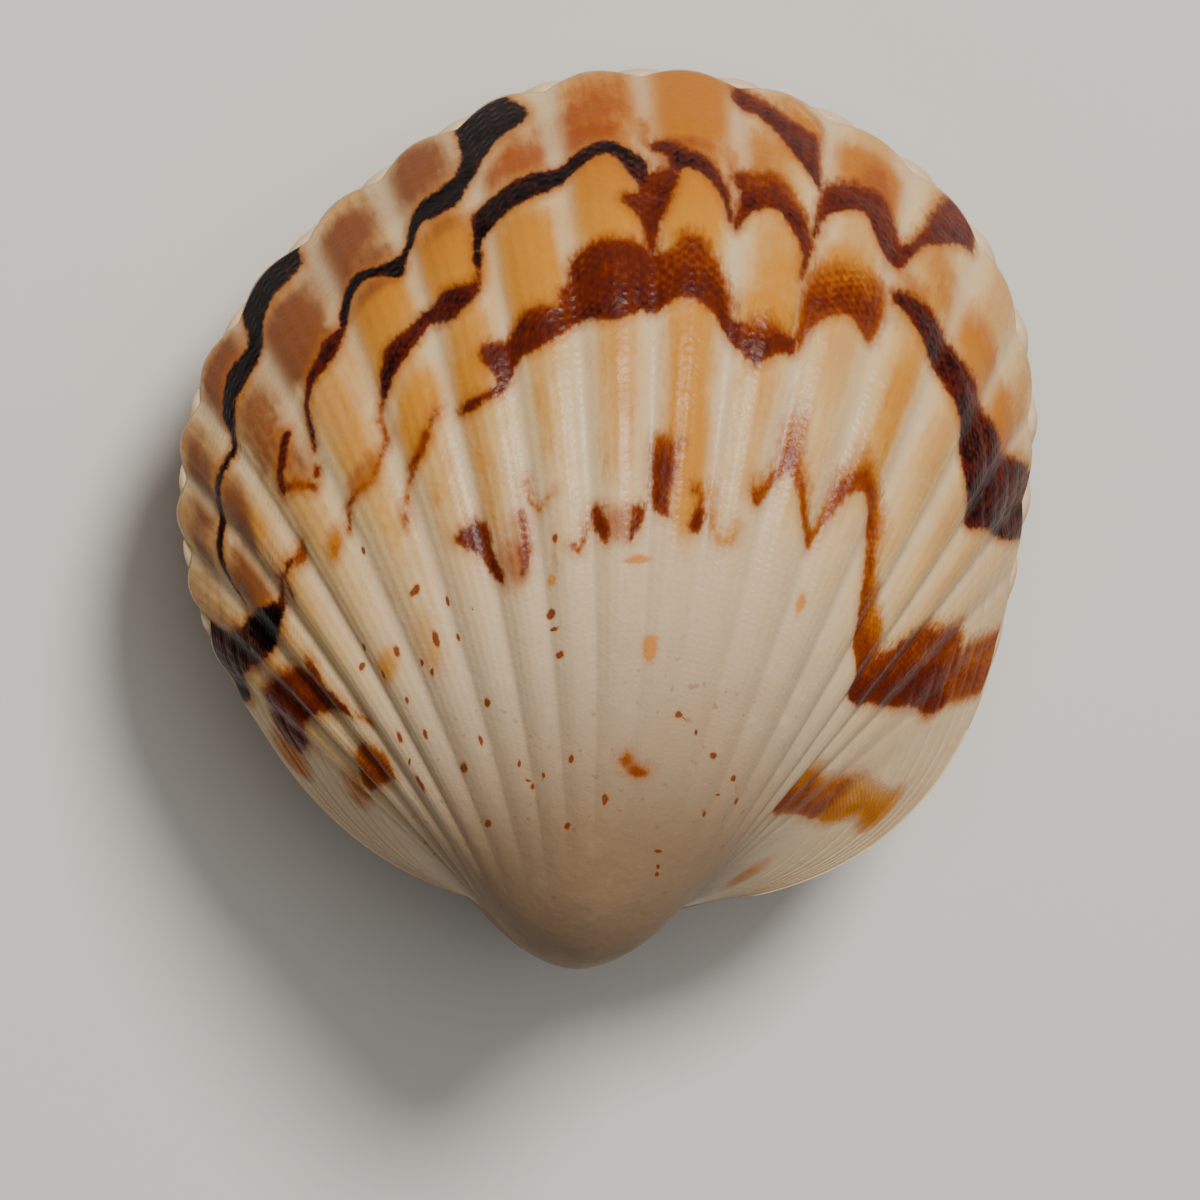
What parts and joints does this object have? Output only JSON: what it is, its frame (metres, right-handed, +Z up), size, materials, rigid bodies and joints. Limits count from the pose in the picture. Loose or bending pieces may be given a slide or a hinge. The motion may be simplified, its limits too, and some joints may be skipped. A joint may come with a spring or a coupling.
{
  "type": "tucetona auriflua shell",
  "caption": "Closed pair of thick, rounded, radially ribbed clam valves with a narrow ligament between the beaks, lying on a small flat spot.",
  "frame": {"origin": "middle of the shell's outline at the height of the surface it lies on", "axes": "+Z up from the surface; the beaks point to -Y and the free edge to +Y; X runs along the hinge"},
  "size_m": [0.0316, 0.0326, 0.0198],
  "materials": {
    "upper_valve": "satin shell, cream with golden ribs and dark red-brown bands",
    "lower_valve": "satin shell, cream with golden ribs and dark red-brown bands",
    "ligament": "dull, dark brown and fibrous"
  },
  "bodies": {
    "root": {"upper_valve": "upper_valve", "lower_valve": "lower_valve", "ligament": "ligament"}
  },
  "joints": []
}
